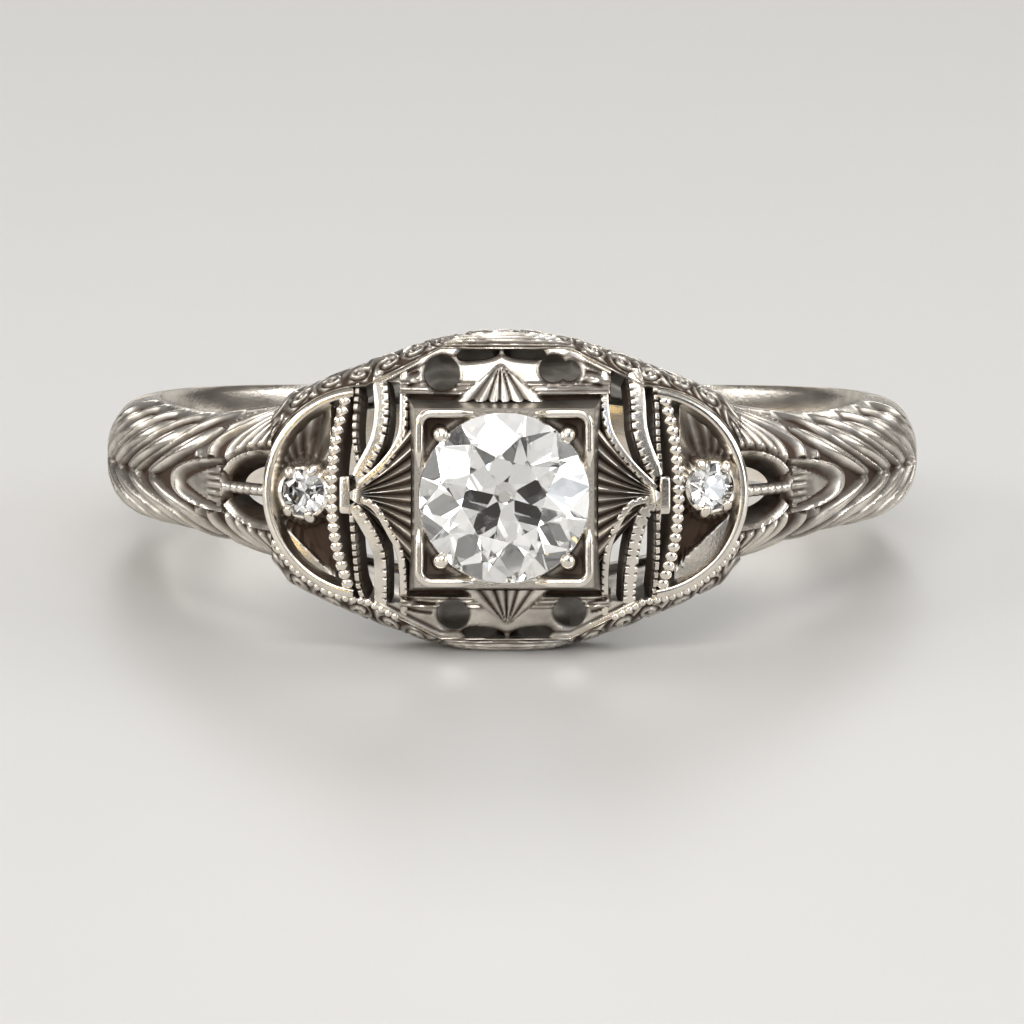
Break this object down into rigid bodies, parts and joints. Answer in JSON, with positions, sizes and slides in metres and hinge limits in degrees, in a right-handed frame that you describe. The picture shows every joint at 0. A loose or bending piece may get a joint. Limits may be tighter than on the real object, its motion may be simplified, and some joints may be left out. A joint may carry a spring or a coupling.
{
  "type": "engagement ring",
  "caption": "Filigree engagement ring with a bead-set round stone in a square setting, side stones and a pierced crown.",
  "frame": {"origin": "centre of the finger hole", "axes": "+Z along the finger hole, -Y out through the head and its centre stone, +X to the right of somebody who looks at the head"},
  "size_m": [0.0194, 0.0224, 0.0074],
  "materials": {
    "white_gold": "polished, pale warm white gold with dark tarnish in its recesses",
    "white_gold_dark": "tarnished white gold in recesses and inner walls",
    "diamond": "clear, colourless, faceted"
  },
  "bodies": {
    "root": {"shank": "white_gold", "shoulder_left": "white_gold", "shoulder_right": "white_gold", "base_rail_north": "white_gold_dark", "base_rail_south": "white_gold_dark", "gallery_north": "white_gold", "gallery_south": "white_gold", "top_plate_north": "white_gold", "top_plate_south": "white_gold", "fan_left": "white_gold", "fan_right": "white_gold", "leaf_ribs_northwest": "white_gold", "leaf_ribs_northeast": "white_gold", "leaf_ribs_southwest": "white_gold", "leaf_ribs_southeast": "white_gold", "collar_left": "white_gold", "collar_right": "white_gold", "beaded_strip_left": "white_gold", "beaded_strip_right": "white_gold", "side_seat_left": "white_gold_dark", "side_seat_right": "white_gold_dark", "seat_rim_left": "white_gold", "seat_rim_right": "white_gold", "centre_box": "white_gold_dark", "corner_rims": "white_gold", "centre_beads": "white_gold", "centre_diamond": "diamond", "side_beads_left": "white_gold", "side_beads_right": "white_gold", "side_diamond_left": "diamond", "side_diamond_right": "diamond"}
  },
  "joints": []
}
